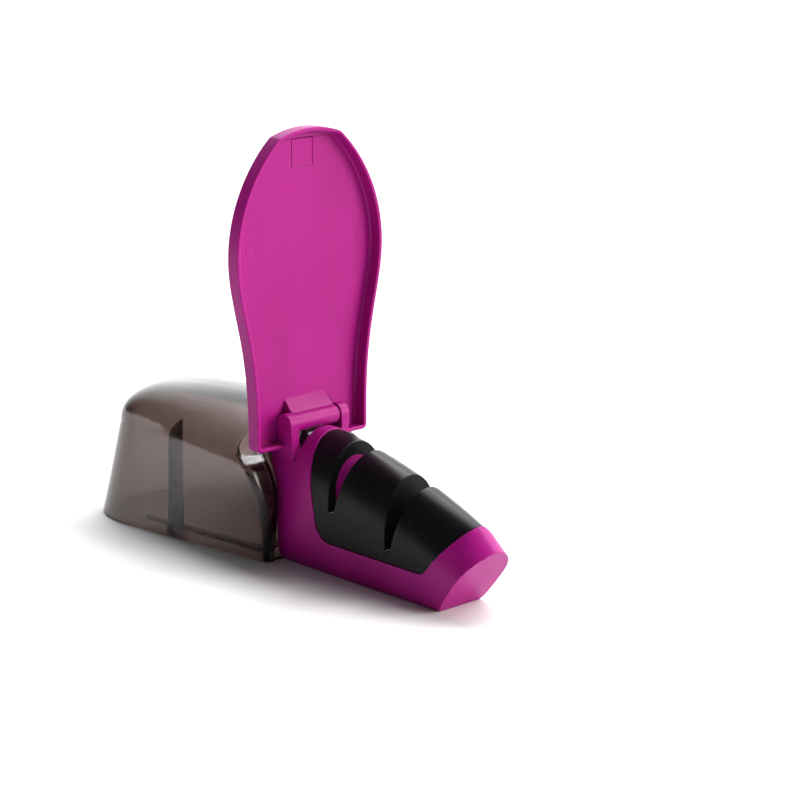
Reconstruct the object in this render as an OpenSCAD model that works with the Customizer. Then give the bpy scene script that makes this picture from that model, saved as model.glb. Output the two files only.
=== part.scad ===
// Hand-held knife sharpener: hollow handle, neck with a hinged hand guard, and a tapered
// head with a coarse and a fine V slot. +X points to the nose, +Z up, Y across.
// The origin is the middle of the footprint, on the table. The guard stands open at rest.

/* [Overall] */
// Length from the rear of the handle to the tip of the nose
total_l = 216; // [200:1:230]
// Height of the neck's crown, just in front of the hinge
neck_h = 54.2; // [53.4:0.2:55]

/* [Head] */
// Largest half width of the neck
neck_hw = 15.7; // [15.3:0.1:16.2]
// Largest half width at the nose
nose_hw = 13.2; // [12.5:0.1:14]
// Thickness of the moulded walls
wall = 2.2; // [1.8:0.1:2.4]
// Height of the nose tip above the table
tip_h = 25.4; // [24:0.2:27]
// How far the nose leans forward between the table and the tip
tip_lean = 19; // [17:0.5:21]

/* [Slots] */
// Rear face of the coarse slot, from the origin
coarse_x = 30.9; // [30.5:0.1:31.5]
// Height of the coarse slot's floor
coarse_z = 25.7; // [24.5:0.1:26.5]
// Rear face of the fine slot, from the origin
fine_x = 62; // [61.5:0.1:62.5]
// Height of the fine slot's floor
fine_z = 17.9; // [17:0.1:18.5]
// Width of a slot at its floor
slot_w = 2.8; // [2.4:0.1:3.2]
// How far the front face of a slot leans, per unit of height
slot_lean = 0.27; // [0.22:0.01:0.3]

/* [Guard] */
// Distance of the hinge axis in front of the origin
hinge_x = 5.5; // [5.3:0.1:6]
// Height of the hinge axis
hinge_z = 56; // [55.5:0.1:56.5]
// Length of the guard from its tail to its tip
guard_l = 124.4; // [120:0.2:126]
// Largest half width of the guard
guard_hw = 36.8; // [35:0.1:38]
// Half width of the guard's tail
tail_hw = 28.2; // [27:0.1:29.5]
// Depth of the guard's tray
guard_d = 6.8; // [6:0.1:7]

/* [Handle] */
// Half width of the handle's foot at the front
foot_front_hw = 22.5; // [21:0.5:23.5]
// Half width of the handle's foot at the rear
foot_rear_hw = 33.5; // [31:0.5:35]
// Half width of the flared front lip
lip_hw = 31; // [30:0.5:32]
// Height of the handle's top
handle_h = 59.6; // [59:0.2:60]
// Thickness of the handle's wall
handle_wall = 2.4; // [2:0.1:2.8]

/* [Hidden] */
$fn = 32;

magenta = [0.56, 0.04, 0.42];
smoke = [0.42, 0.38, 0.36, 0.55];
black = [0.06, 0.06, 0.07];
steel = [0.72, 0.72, 0.74];
ceramic = [0.93, 0.92, 0.88];
carbide = [0.38, 0.38, 0.40];
rubber = [0.12, 0.12, 0.12];

rear_x = -total_l / 2;
tip_x = total_l / 2;
far = 60;                       // reaches past every wall, for cuts
fit_gap = 0.15;                 // gap round a fitted panel
toe_x = tip_x - tip_lean;       // where the nose meets the table
neck_x = 12;                    // where the head starts to taper
collar_x = 11.5;                // rear face of the collar in front of the hinge
saddle_z = 46;                  // floor of the hinge gap
crown_x = 17.2;                 // where the crown starts to fall
seam_x = 98.9;                  // where the insert meets the nose on the crown
insert_sink = 0.3;              // the insert lies this far below the moulding
insert_wall = 2;

// ---- helpers ----
function mix(a, b, t) = a + (b - a) * t;
function ease(t) = let (c = max(0, min(1, t))) c * c * (3 - 2 * c);

// Arc that rounds corner b of the path a, b, c
function corner(a, b, c, r, steps = 5) =
  let (
    u = (a - b) / norm(a - b), v = (c - b) / norm(c - b),
    half = acos(u * v) / 2, w = (u + v) / norm(u + v),
    centre = b + w * r / sin(half),
    p = b + u * r / tan(half) - centre, q = b + v * r / tan(half) - centre,
    a0 = atan2(p[1], p[0]), turn = atan2(q[1], q[0]) - a0,
    sweep = turn > 180 ? turn - 360 : turn < -180 ? turn + 360 : turn
  )
  [for (i = [0:steps]) centre + r * [cos(a0 + sweep * i / steps), sin(a0 + sweep * i / steps)]];

// Mirror a half outline, listed at y > 0, into a closed ring
function ring_of(half) = concat(half, [for (i = [len(half) - 1:-1:0]) [half[i][0], -half[i][1], half[i][2]]]);

// Closed skin through symmetric rings, capped with strips across the middle
module skin(rings) {
  n = len(rings[0]);
  last = (len(rings) - 1) * n;
  sides = [for (i = [0:len(rings) - 2], j = [0:n - 1])
    let (a = i * n + j, b = i * n + (j + 1) % n) each [[a, b + n, b], [a, a + n, b + n]]];
  caps = [for (j = [0:n / 2 - 2]) let (k = n - 1 - j) each [
    [j, j + 1, k], [j + 1, k - 1, k],
    [last + j + 1, last + j, last + k], [last + k - 1, last + j + 1, last + k]]];
  polyhedron([for (r = rings) each r], concat(sides, caps));
}

// Extrude a side view, drawn as [x, z], across the whole width
module across(outline, w = 2 * far) {
  rotate([90, 0, 0]) linear_extrude(w, center = true) polygon(outline);
}

module rod_x(x, y, z, l, r) { translate([x, y, z]) rotate([0, 90, 0]) cylinder(h = l, r = r); }
module rod_y(x, y, z, l, r) { translate([x, y, z]) rotate([-90, 0, 0]) cylinder(h = l, r = r); }
module rod_z(x, y, z, l, r) { translate([x, y, z]) cylinder(h = l, r = r); }

// ---- head: cross sections along X ----
function taper(x) = max(0, (x - neck_x) / (tip_x - neck_x));
function fall(x) = let (d = max(0, min(x, seam_x) - crown_x)) 0.1225 * d + 0.0016 * d * d;
function crown(x) =
  neck_h - fall(x) - max(0, x - seam_x) * (neck_h - fall(seam_x) - tip_h) / (tip_x - seam_x);
function belly_hw(x) = nose_hw + (neck_hw - nose_hw) * pow(max(0, 1 - taper(x)), 1.3);
function belly_z(x) = 29 - 18 * pow(taper(x), 1.5);
function skirt_hw(x) = 12.9 - 3.6 * pow(taper(x), 1.6);
function roundness(x) = 2.15 - 0.65 * pow(taper(x), 3);

// Half section at x, set in by t: the skirt up to the belly, then an arch to the crown
function section(x, t, low = 5, high = 11) =
  let (
    zb = belly_z(x), wb = belly_hw(x) - t, ws = skirt_hw(x) - t, rise = crown(x) - t - zb,
    p = 2 / roundness(x)
  )
  concat(
    [for (i = [0:low - 1]) let (u = 1 - i / low) [x, ws + (wb - ws) * sqrt(1 - u * u), zb * (1 - u)]],
    [for (i = [0:high]) let (a = 86 * i / high) [x, wb * pow(cos(a), p), zb + rise * pow(sin(a), p)]]
  );
function stations(x0, x1, n) = [for (i = [0:n]) mix(x0, x1, i / n)];

// Body of the head between x0 and x1, set in by t and then open below the table
module head_form(t, x0, x1, n) {
  skin([for (x = stations(x0, x1, n)) ring_of([for (p = section(x, t)) p[2] > 0 ? p : p - [0, 0, t]])]);
}

// ---- handle: outlines in level planes ----
lip_z = 44;                     // the top rounds over above this height
function rounding(z) = z <= lip_z ? 1 : pow(1 - pow((z - lip_z) / (handle_h - lip_z), 2.6), 1 / 2.6);
function front_rounding(z) = z <= 38 ? 1 : pow(1 - pow((z - 38) / (handle_h - 38), 1.72), 1 / 1.72);
function front_hw(z) =
  (foot_front_hw + (lip_hw - foot_front_hw) * ease(pow(min(z, 42) / 42, 1.3))) * front_rounding(z);
function rear_hw(z) = (foot_rear_hw - 0.19 * min(z, lip_z)) * rounding(z);
// Front face at height z; v is 0 in the middle and 1 at the side edge
function front_x(z, v) = 1.5 * ease(z / 27) - 8 * ease((z - 27) / 22) - 3 * (1 - rounding(z))
  + (3.5 * ease(z / 38) * (1 - ease((z - 41) / 5)) - 2.2) * pow(v, 4);
function back_x(z) = rear_x + 0.155 * z + 16 * (1 - rounding(z));
function sag(x) = 1 - 0.0016 * pow(max(0, -30 - x), 2) / handle_h;
waist_x = rear_x + 30;          // widest place of the foot

// The front lip reaches forward on both sides of the neck; the hollow stops just behind it
lip_t = 4.6;
function forward(z, t) = t < 1 ? lip_t * (1 - ease((z - 38) / 7)) : 0.8 * t;

// Half outline at height z, set in by t
function level(z, t, side = 8, rear = 8) =
  let (
    fw = front_hw(z) - t, rw = rear_hw(z) - t, lip = forward(z, t),
    xf = front_x(z, 1) - t + lip, xr = back_x(z) + t,
    vs = [0.22, 0.45, min(0.72, (neck_hw + 0.5) / fw), min(0.86, (neck_hw + 3.5) / fw)]
  )
  concat(
    [for (i = [0:3]) [front_x(z, vs[i]) - t + (i > 2 ? lip : 0), fw * vs[i]]],
    [for (i = [0:side - 1]) let (u = i / side) [mix(xf, waist_x, u), mix(fw, rw, u)]],
    [for (i = [0:rear]) let (a = 88 * i / rear)
      [waist_x - (waist_x - xr) * pow(sin(a), 0.77), rw * pow(cos(a), 0.77)]]
  );
function lifted(points, z) = [for (p = points) [p[0], p[1], z * sag(p[0])]];
function heights(top, n) = [for (i = [0:n]) let (u = i / n) top * (1 - pow(1 - u, 1.6))];

module handle_form(t, foot, top, n) {
  skin([for (z = heights(top, n)) ring_of(lifted(level(max(0, z), t), z <= 0 ? foot : z))]);
}

// ---- side views of the head ----
shell_zs = heights(handle_h - 0.3, 13);
neck_zs = [for (z = shell_zs) if (z < saddle_z) z];
rear_face = [for (z = neck_zs) [front_x(z, 0) + fit_gap, z]];
nose_slope = tip_h / tip_lean;
head_side = concat([[0, -2]], rear_face, [[front_x(saddle_z, 0) + fit_gap, saddle_z],
  [collar_x, saddle_z], [collar_x, far + 10],
  [toe_x + (far + 10) / nose_slope, far + 10], [toe_x - 2 / nose_slope, -2]]);
inner_side = concat([[wall, -2]], [for (p = rear_face) if (p[1] < saddle_z - wall) p + [wall, 0]],
  [[front_x(saddle_z, 0) + wall, saddle_z - wall],
  [collar_x + wall, saddle_z - wall], [collar_x + wall, far + 10],
  [toe_x + (far + 10) / nose_slope - 1.3 * wall, far + 10], [toe_x - 2 / nose_slope - 1.3 * wall, -2]]);

// Side view of the black insert, grown by g: its foot corners are rounded
insert_z = 13.3;
function window(g) =
  let (
    top = far + 10, foot = insert_z - g,
    a = [crown_x - g + (neck_h - top) * 0.18, top], b = [crown_x - g + (neck_h - foot) * 0.18, foot],
    c = [seam_x + g - (crown(seam_x) - foot) / 1.22, foot],
    d = [seam_x + g + (top - crown(seam_x)) / 1.22, top]
  )
  concat([a], corner(a, b, c, 8 + g), corner(b, c, d, 6 + g), [d]);

// Side view of a V slot, grown by g
function slot_side(x, z, g = 0) =
  let (foot = z - g, top = far + 10, w = slot_w + g)
  concat([[x - g, top]], corner([x - g, top], [x - g, foot], [x + w, foot], 1 + g, 3),
    corner([x - g, foot], [x + w, foot], [x + w + (top - foot) * slot_lean, top], 1 + g, 3),
    [[x + w + (top - foot) * slot_lean, top]]);

// ---- handle ----
post_x = -49.4;                   // front of the moulded post on each side wall
post_w = 4.6;
post_y = 21.5;                  // its inner face
ledge_z = 3.6;
screw_y = 7;                    // the two handle screws
screw_z = 20;

module handle_shell() color(smoke) {
  difference() {
    handle_form(0, 0, handle_h - 0.3, 13);
    handle_form(handle_wall, -1, handle_h - handle_wall - 0.3, 11);
    for (s = [-1, 1]) rod_x(-6, s * screw_y, screw_z, 12, 1.7);
  }
  intersection() {
    handle_form(handle_wall - 0.4, -1, handle_h - handle_wall, 8);
    union() {
      ledge();
      for (s = [0, 1]) mirror([0, s, 0]) side_post();
    }
  }
}

// Step inside the foot, along both sides and the front
module ledge() {
  difference() {
    translate([-66, -far / 2, ledge_z]) cube([far + 8, far, 1.8]);
    translate([-70, 0, ledge_z - 1]) linear_extrude(4)
      polygon([[0, -27], [0, 27], [64, foot_front_hw - 5], [64, 5 - foot_front_hw]]);
  }
}

// Post that stiffens a side wall, with a slanting top
module side_post() {
  translate([0, post_y + 14, 0]) rotate([90, 0, 0]) linear_extrude(14)
    polygon([[post_x - post_w, 0.5], [post_x, 0.5], [post_x, 48], [post_x - post_w, 43]]);
}

module handle_screws() color(steel) {
  for (s = [-1, 1]) {
    rod_x(-3.6, s * screw_y, screw_z, 2, 2.8);
    rod_x(-1.7, s * screw_y, screw_z, 10.5, 1.4);
  }
}

// ---- body ----
ear_in = 11;
ear_out = 15.1;
ear_r = 4.3;
pin_r = 1.5;
base_top = 2.6;                 // top of the base cover
rear_post_x = 5.5;
front_post_x = 83.2;
post_r = 2.9;
lug_x = [22.5, 77];             // screws that hold the insert and the carrier

module body_shell() color(magenta) {
  difference() {
    union() {
      difference() {
        intersection() { head_form(0, -10, tip_x, 16); across(head_side); }
        intersection() { head_form(wall, -11, tip_x, 16); across(inner_side); }
        across(window(0));
      }
      for (s = [0, 1]) mirror([0, s, 0]) ear();
      screw_posts();
    }
    rod_y(hinge_x, -ear_out + 1.2, hinge_z, 2 * ear_out, pin_r);
    for (s = [-1, 1]) rod_x(-4, s * screw_y, screw_z, 13, 1.4);
    for (x = [rear_post_x, front_post_x]) rod_z(x, 0, 0, 12.6, 1.3);
    for (s = [0, 1]) mirror([0, s, 0]) ear_notch();
  }
}

// Narrow notch between the foot of an ear and the collar
module ear_notch() {
  front = hinge_x + ear_r - 0.1;
  translate([0, ear_out - 2.5, 0]) rotate([90, 0, 0]) mirror([0, 0, 1]) linear_extrude(5)
    polygon([[front, saddle_z - 5], [front, saddle_z + 0.5], [collar_x - 0.1, saddle_z + 0.5],
      [collar_x - 0.1, saddle_z - 0.2]]);
}

// Hinge ear: a round head on a root that leans in to meet the neck's side
module ear() intersection() {
  union() {
    rod_y(hinge_x, 0, hinge_z, ear_out, ear_r);
    translate([hinge_x - ear_r, 0, saddle_z - 8]) cube([2 * ear_r, ear_out, hinge_z - saddle_z + 8]);
  }
  upright(0, collar_x, [[ear_in, saddle_z - 6], [ear_out - 1.5, saddle_z - 8],
    [ear_out, hinge_z - 2], [ear_out, far + 5], [ear_in, far + 5]]);
}

module screw_posts() {
  rod_z(rear_post_x, 0, base_top, saddle_z - wall - base_top + 0.5, post_r);
  for (s = [-1, 1]) rod_x(1.5, s * screw_y, screw_z, 9, 2.6);
  rod_z(front_post_x, 0, base_top, 11, post_r);
  intersection() {
    translate([front_post_x, -post_r, base_top]) cube([far / 2, 2 * post_r, 11]);
    across(head_side);
  }
}

module hinge_pin() color(steel) {
  rod_y(hinge_x, -ear_out + 1.2, hinge_z, 2 * ear_out - 1.4, pin_r);
}

// Leaf under the guard's knuckle, which holds it where it is put
module detent_spring() color(steel) {
  leaf = 0.5;
  outline = [[-4, 0], [1, 0], [3.6, 5.2], [hinge_x, 5.6], [7.4, 5.2], [10, 0.5]];
  across([for (p = concat(outline, [for (i = [5:-1:0]) outline[i] + [0, leaf]])) p + [0, saddle_z]], 9);
}

// ---- insert with the two slots ----
web_hw = 10.4;                  // arch behind the coarse slot
web_top = 46.4;
web_x = 25.8;                   // its rear face

module insert_form() {
  difference() {
    union() {
      difference() {
        head_form(insert_sink, 10, 106, 12);
        head_form(insert_sink + insert_wall, 9, 107, 12);
      }
      intersection() {
        head_form(insert_sink + 1, 10, 106, 12);
        union() {
          for (s = [[coarse_x, coarse_z], [fine_x, fine_z]]) across(slot_side(s[0], s[1], 1.4));
          for (x = lug_x) rod_z(x, 0, 8, far, 2.8);
        }
      }
    }
    across(concat([[0, -5], [0, far + 20]], window(-fit_gap), [[far * 2.4, far + 10], [far * 2.4, -5]]));
    across(slot_side(coarse_x, coarse_z));
    across(slot_side(fine_x, fine_z));
    carrier_web(0.2);
    for (s = [[coarse_x, coarse_z], [fine_x, fine_z]])
      translate([s[0] - 2, -3.4, s[1] - 3]) cube([slot_w + 9, 6.8, 17]);
    for (x = lug_x) rod_z(x, 0, 5, 12, 1.25);
  }
}

// The insert's stretches, which meet at the middle of each slot's floor
module insert_stretch(x0, x1) color(black) intersection() {
  insert_form();
  translate([x0, -far / 2, 0]) cube([x1 - x0, far, far]);
}
coarse_mid = coarse_x + slot_w / 2;
fine_mid = fine_x + slot_w / 2;
module insert_rear() insert_stretch(0, coarse_mid);
module insert_middle() insert_stretch(coarse_mid, fine_mid);
module insert_front() insert_stretch(fine_mid, tip_x);

module insert_screws() color(steel) {
  for (x = lug_x) {
    rod_z(x, 0, 3.6, 1.6, 2.5);
    rod_z(x, 0, 5, 10.5, 1.25);
  }
}

// ---- carrier with the sharpening elements ----
cheek = 6;                      // half width of the element towers

// Arched web that shows through the rear face of the coarse slot
module carrier_web(g) {
  translate([web_x - g, 0, 0]) rotate([90, 0, 90]) linear_extrude(coarse_x - 0.5 - web_x + (g > 0 ? 2 : 0))
    polygon(concat([[-web_hw - g, 6 - g], [web_hw + g, 6 - g]],
      [for (a = [0:12:180]) [(web_hw + g) * cos(a), 34 + (web_top - 34 + g) * sin(a)]]));
}

module sharpener_carrier() color(magenta) difference() {
  union() {
    translate([18.5, -8, 5.2]) cube([front_post_x - post_r - 0.3 - 18.5, 16, 2.8]);
    carrier_web(0);
    translate([web_x, -cheek, 7]) cube([13.5, 2 * cheek, 15.6]);
    translate([fine_x - 6, -cheek, 7]) cube([16.3, 2 * cheek, 7.8]);
  }
  coarse_blade(1);
  coarse_blade(-1);
  translate([coarse_x - 2.6, 1.6, 9]) cube([10, 1.2, 14]);
  coarse_screws_form(1.25);
  for (s = [-1, 1]) fine_rod(s);
  fine_screws_form(1.25);
  for (x = lug_x) rod_z(x, 0, 4, 6, 1.5);
}

blade_tilt = 17;
cross_z = 30;                   // where the coarse blades cross

// Carbide strip; the two strips cross and their inner edges make the V
module coarse_blade(s) {
  translate([coarse_x + 1.9, s > 0 ? 0 : -1.6, cross_z]) rotate([0, s * blade_tilt, 0])
    translate([-1.9 - s * 1.2, 0, -17]) cube([3.8, 1.6, 22]);
}
module coarse_blade_near() color(carbide) coarse_blade(-1);
module coarse_blade_far() color(carbide) coarse_blade(1);
module coarse_clamp() color(steel) translate([coarse_x - 2.5, 1.65, 9.1])
  cube([9.8, 1.1, 13.3]);
module coarse_screws_form(r) { for (x = [0, 5]) rod_y(coarse_x + x, 2.75, 13, 5, r); }
module coarse_screws() color(steel) coarse_screws_form(1.25);

rod_r = 1.5;
rod_tilt = 15;
rod_y0 = 1.65;
rod_cross_z = 22;

// Ceramic rod; the two rods lean opposite ways and pass side by side
module fine_rod(s) {
  translate([fine_x + 2.2, s * rod_y0, rod_cross_z]) rotate([0, s * rod_tilt, 0])
    translate([0, 0, -13]) cylinder(h = 22, r = rod_r);
}
module fine_rod_near() color(ceramic) fine_rod(-1);
module fine_rod_far() color(ceramic) fine_rod(1);
module fine_screws_form(r) {
  for (s = [-1, 1])
    rod_y(fine_x + 2.2 - s * (rod_cross_z - 11.5) * tan(rod_tilt), s > 0 ? rod_y0 + rod_r : -cheek - 1, 11.5,
      cheek + 1 - rod_y0 - rod_r, r);
}
module fine_screws() color(steel) fine_screws_form(1.25);

// ---- base ----
pad_h = 1.4;
module base_outline(inset) {
  x0 = 2.6;
  x1 = front_post_x + 3;
  polygon([for (s = [-1, 1], x = (s < 0 ? [x0, x1] : [x1, x0])) [x, s * (skirt_hw(x) - wall - inset)]]);
}

module base_cover() color(black) difference() {
  translate([0, 0, 0.6]) linear_extrude(base_top - 0.6) base_outline(fit_gap);
  for (x = [12, 58]) translate([x - 0.1, -8.1, 0]) cube([20.2, 16.2, pad_h]);
  for (x = [rear_post_x, front_post_x]) rod_z(x, 0, 0, 4, 1.6);
}

module base_screws() color(steel) {
  for (x = [rear_post_x, front_post_x]) {
    rod_z(x, 0, 0.1, 0.5, 2.6);
    rod_z(x, 0, 0.6, 12, 1.3);
  }
}

module rubber_pad(x) color(rubber) translate([x, -8, 0]) cube([20, 16, pad_h]);
module front_pad() rubber_pad(58);
module rear_pad() rubber_pad(12);

// ---- guard ----
knuckle_r = 3.7;
knuckle_hw = 10.7;
guard_t = 1.6;
tail_z = 46.6;
rim_x = hinge_x;
ear_gap = 0.4;
knuckle_z = hinge_z - 2.5;       // foot of the block that joins the knuckle to the floor
wide_z = tail_z + 76;           // height of the widest place, with the guard open

// Half width of the guard at height z: it swells up to the widest place, then closes in
function guard_half(z) = z < wide_z
  ? mix(tail_hw, guard_hw, 0.5 - 0.5 * cos(180 * pow((z - tail_z) / (wide_z - tail_z), 1.6)))
  : guard_hw * pow(1 - pow((z - wide_z) / 54, 2), 0.7);

// Front view of the guard, set in by t: sides, then a shallow arc over the tip
function guard_outline(t) =
  let (
    zs = [for (i = [0:20]) mix(tail_z + t, tail_z + guard_l - 2.8 - 0.8 * t, i / 20)],
    top = zs[20], tip_w = guard_half(top) - t,
    side = [for (z = zs) [guard_half(z) - t, z]],
    arc = [for (i = [1:7]) let (v = 1 - i / 8) [tip_w * v, top + (2.8 - 0.2 * t) * (1 - v * v)]]
  )
  concat(side, arc, [[0, top + 2.8 - 0.2 * t]], [for (i = [6:-1:0]) [-arc[i][0], arc[i][1]]],
    [for (i = [20:-1:0]) [-side[i][0], side[i][1]]]);

// Stand a front view up at x, as thick as d towards +X
module upright(x, d, outline) {
  translate([x, 0, 0]) rotate([90, 0, 90]) linear_extrude(d) polygon(outline);
}

// Tray of the guard: its tail wall is open for the neck, and the floor for the leaf spring
module tray(back) {
  notch_hw = ear_out + ear_gap + 0.1;
  difference() {
    upright(back, guard_d, guard_outline(0));
    upright(back + guard_t, guard_d, guard_outline(guard_t));
    translate([back + guard_t - 0.1, -notch_hw, tail_z - 1]) cube([guard_d, 2 * notch_hw, 3]);
    translate([back - 1, -notch_hw, tail_z - 1]) cube([guard_d, 2 * notch_hw, 1.8]);
    translate([back - 1, -5.2, tail_z - 1]) cube([guard_d, 10.4, knuckle_z - tail_z + 1.2]);
    // shallow rectangle near the tip
    translate([back + guard_t - 0.3, -5.3, 155.5]) cube([2, 10.6, 10.8]);
  }
}

module lid() color(magenta) {
  back = rim_x - guard_d;
  difference() {
    union() {
      tray(back);
      rod_y(hinge_x, -ear_in, hinge_z, 2 * ear_in, knuckle_r);
      across([[back + 0.3, knuckle_z], [hinge_x, knuckle_z], [hinge_x, hinge_z + 3.6],
        [back + guard_t, hinge_z + 8.5], [back + 0.3, hinge_z + 8.5]], 2 * ear_in);
    }
    // room for the ears
    for (s = [0, 1]) mirror([0, s, 0]) translate([back + guard_t - 0.1, knuckle_hw, tail_z - 1])
      cube([guard_d + 5, ear_out - knuckle_hw + ear_gap, hinge_z - tail_z + 1 + ear_r + ear_gap]);
    rod_y(hinge_x, -ear_in - 1, hinge_z, 2 * ear_in + 2, pin_r + 0.06);
  }
}

handle_shell();
body_shell();
insert_rear();
insert_middle();
insert_front();
sharpener_carrier();
coarse_blade_near();
coarse_blade_far();
coarse_clamp();
coarse_screws();
fine_rod_near();
fine_rod_far();
fine_screws();
insert_screws();
base_cover();
base_screws();
front_pad();
rear_pad();
handle_screws();
detent_spring();
hinge_pin();
lid();
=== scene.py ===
"""Looks of the hand-held knife sharpener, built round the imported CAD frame.

Lengths are millimetres in the frame's axes: +X to the nose, +Y across, +Z up. new_piece() turns
them into metres. The shapes follow the same formulas as the CAD source, with more points,
rounded edges, screw threads, grooves in the base and moulding marks. Angles are degrees.
"""
import math

import bmesh
import bpy
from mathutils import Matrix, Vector


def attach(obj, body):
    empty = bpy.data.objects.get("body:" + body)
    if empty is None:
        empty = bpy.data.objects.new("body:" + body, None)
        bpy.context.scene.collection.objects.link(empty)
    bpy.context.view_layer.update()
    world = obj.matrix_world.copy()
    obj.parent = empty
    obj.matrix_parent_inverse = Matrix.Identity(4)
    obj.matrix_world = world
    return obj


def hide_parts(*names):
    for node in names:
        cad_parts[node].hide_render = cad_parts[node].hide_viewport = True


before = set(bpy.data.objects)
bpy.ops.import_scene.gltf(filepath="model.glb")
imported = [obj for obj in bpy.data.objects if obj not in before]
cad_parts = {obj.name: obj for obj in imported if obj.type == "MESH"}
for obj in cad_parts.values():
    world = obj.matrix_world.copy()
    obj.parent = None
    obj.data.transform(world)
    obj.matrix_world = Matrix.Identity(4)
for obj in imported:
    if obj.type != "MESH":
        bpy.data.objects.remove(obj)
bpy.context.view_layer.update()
MM = 0.001
FAR = 60                            # reaches past every wall, for cuts
ABOVE, BELOW = FAR + 10, -2         # heights past the top of the neck and under the table
SIDES = (-1, 1)                     # near side and far side

# ---- sizes, as in the CAD source ----
# head
TIP_X, TIP_H = 108, 25.4            # tip of the nose
TOE_X = 89                          # where the nose meets the table
NOSE_SLOPE = TIP_H / (TIP_X - TOE_X)
NECK_H, NECK_HW, NOSE_HW = 54.2, 15.7, 13.2
WALL = 2.2
NECK_X = 12                         # where the head starts to taper
CROWN_X = 17.2                      # where the crown starts to fall
SEAM_X = 98.9                       # where the insert meets the nose on the crown
COLLAR_X = 11.5                     # rear face of the collar in front of the hinge
SADDLE_Z = 46                       # floor of the hinge gap
SADDLE_UNDER = SADDLE_Z - WALL
# insert and slots
INSERT_Z, INSERT_SINK, INSERT_WALL = 13.3, 0.3, 2
INSERT_X0, INSERT_X1 = 12, 106
FIT_GAP = 0.15                      # gap round a fitted panel
COARSE, FINE = (30.9, 25.7), (62, 17.9)     # rear face and floor of each slot
SLOTS = (COARSE, FINE)
SLOT_W, SLOT_LEAN = 2.8, 0.27
LUG_X, LUG_R = (22.5, 77), 2.8      # screws that hold the insert and the carrier
# hinge
HINGE_X, HINGE_Z, PIN_R = 5.5, 56, 1.5
PIN_SEAT = 1.2                      # wall that the near ear keeps at the pin's end
EAR_IN, EAR_OUT, EAR_R, EAR_GAP = 11, 15.1, 4.3, 0.4
KNUCKLE_Z, KNUCKLE_R, KNUCKLE_HW = 53.5, 3.7, 10.7
# guard
GUARD_L, GUARD_HW, GUARD_D, GUARD_T = 124.4, 36.8, 6.8, 1.6
TAIL_Z, TAIL_HW = 46.6, 28.2
WIDE_Z = TAIL_Z + 76                # height of the widest place
TIP_RISE = 2.8                      # rise of the arc over the guard's tip
# handle
REAR_X = -108
WAIST_X = REAR_X + 30               # widest place of the foot
FOOT_FRONT_HW, FOOT_REAR_HW, LIP_HW = 22.5, 33.5, 31
HANDLE_H, HANDLE_WALL = 59.6, 2.4
LIP_Z, FRONT_LIP_Z = 44, 38         # the top and the front round over above these heights
LIP_T, LIP_FADE = 4.6, 7            # reach of the front lip beside the neck, height over which it fades
FLARE_Z = 42                        # the front widens up to this height
TOP_POWER, FRONT_POWER = 2.6, 1.72
POST_X, POST_W, POST_Y, LEDGE_Z = -49.4, 4.6, 21.5, 3.6
SCREW_Y, SCREW_Z = 7, 20            # the two handle screws
# base
REAR_POST_X, FRONT_POST_X, POST_R, POST_H = 5.5, 83.2, 2.9, 11
BASE_POST_X = (REAR_POST_X, FRONT_POST_X)
BASE_UNDER, BASE_TOP = 0.6, 2.6
PAD_X, PAD_L, PAD_HW, PAD_H = (12, 58), 20, 8, 1.4
# carrier and what it holds
WEB_HW, WEB_TOP, WEB_X, WEB_SPRING_Z, WEB_GAP = 10.4, 46.4, 25.8, 34, 0.2
CHEEK = 6                           # half width of the element towers
BLADE_W, BLADE_T, BLADE_TILT, CROSS_Z = 3.8, 1.6, 17, 30
ROD_R, ROD_Y0, ROD_TILT = 1.5, 1.65, 15
ROD_CROSS_X, ROD_CROSS_Z = FINE[0] + 2.2, 22
CLAMP_SCREW_X, CLAMP_SCREW_Z = (COARSE[0], COARSE[0] + 5), 13
ROD_SCREW_Z = 11.5


def mix(a, b, t):
    return a + (b - a) * t


def ease(t):
    c = max(0, min(1, t))
    return c * c * (3 - 2 * c)


def spread(a, b, n):
    """n + 1 values from a to b."""
    return [mix(a, b, i / n) for i in range(n + 1)]


def cos(degrees):
    """Cosine for angles up to 90 degrees, never below zero."""
    return max(0.0, math.cos(math.radians(degrees)))


def sin(degrees):
    """Sine for angles up to 180 degrees, never below zero."""
    return max(0.0, math.sin(math.radians(degrees)))


def bend(start, knee, end, t):
    """Point at t on the quadratic curve from start to end that is drawn towards knee."""
    return tuple((1 - t) ** 2 * start[k] + 2 * t * (1 - t) * knee[k] + t * t * end[k] for k in (0, 1))


# ---- mesh tools ----
def new_piece(name, vertices, faces):
    mesh = bpy.data.meshes.new(name)
    mesh.from_pydata([Vector(v) * MM for v in vertices], [], faces)
    bm = bmesh.new()
    bm.from_mesh(mesh)
    bmesh.ops.recalc_face_normals(bm, faces=bm.faces)
    bm.to_mesh(mesh)
    bm.free()
    obj = bpy.data.objects.new(name, mesh)
    bpy.context.scene.collection.objects.link(obj)
    return obj


def settle(obj):
    """Apply obj's modifiers to its mesh."""
    bpy.context.view_layer.update()
    graph = bpy.context.evaluated_depsgraph_get()
    mesh = bpy.data.meshes.new_from_object(obj.evaluated_get(graph))
    obj.modifiers.clear()
    obj.data = mesh


def combine(target, operation, *tools):
    """Change target by each tool in turn; the tools are used up."""
    for tool in tools:
        modifier = target.modifiers.new("combine", "BOOLEAN")
        modifier.operation = operation
        modifier.solver = "EXACT"
        modifier.object = tool
        settle(target)
        bpy.data.objects.remove(tool)
    return target


def cut(target, *tools):
    return combine(target, "DIFFERENCE", *tools)


def join(target, *tools):
    return combine(target, "UNION", *tools)


def common(target, *tools):
    return combine(target, "INTERSECT", *tools)


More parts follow.
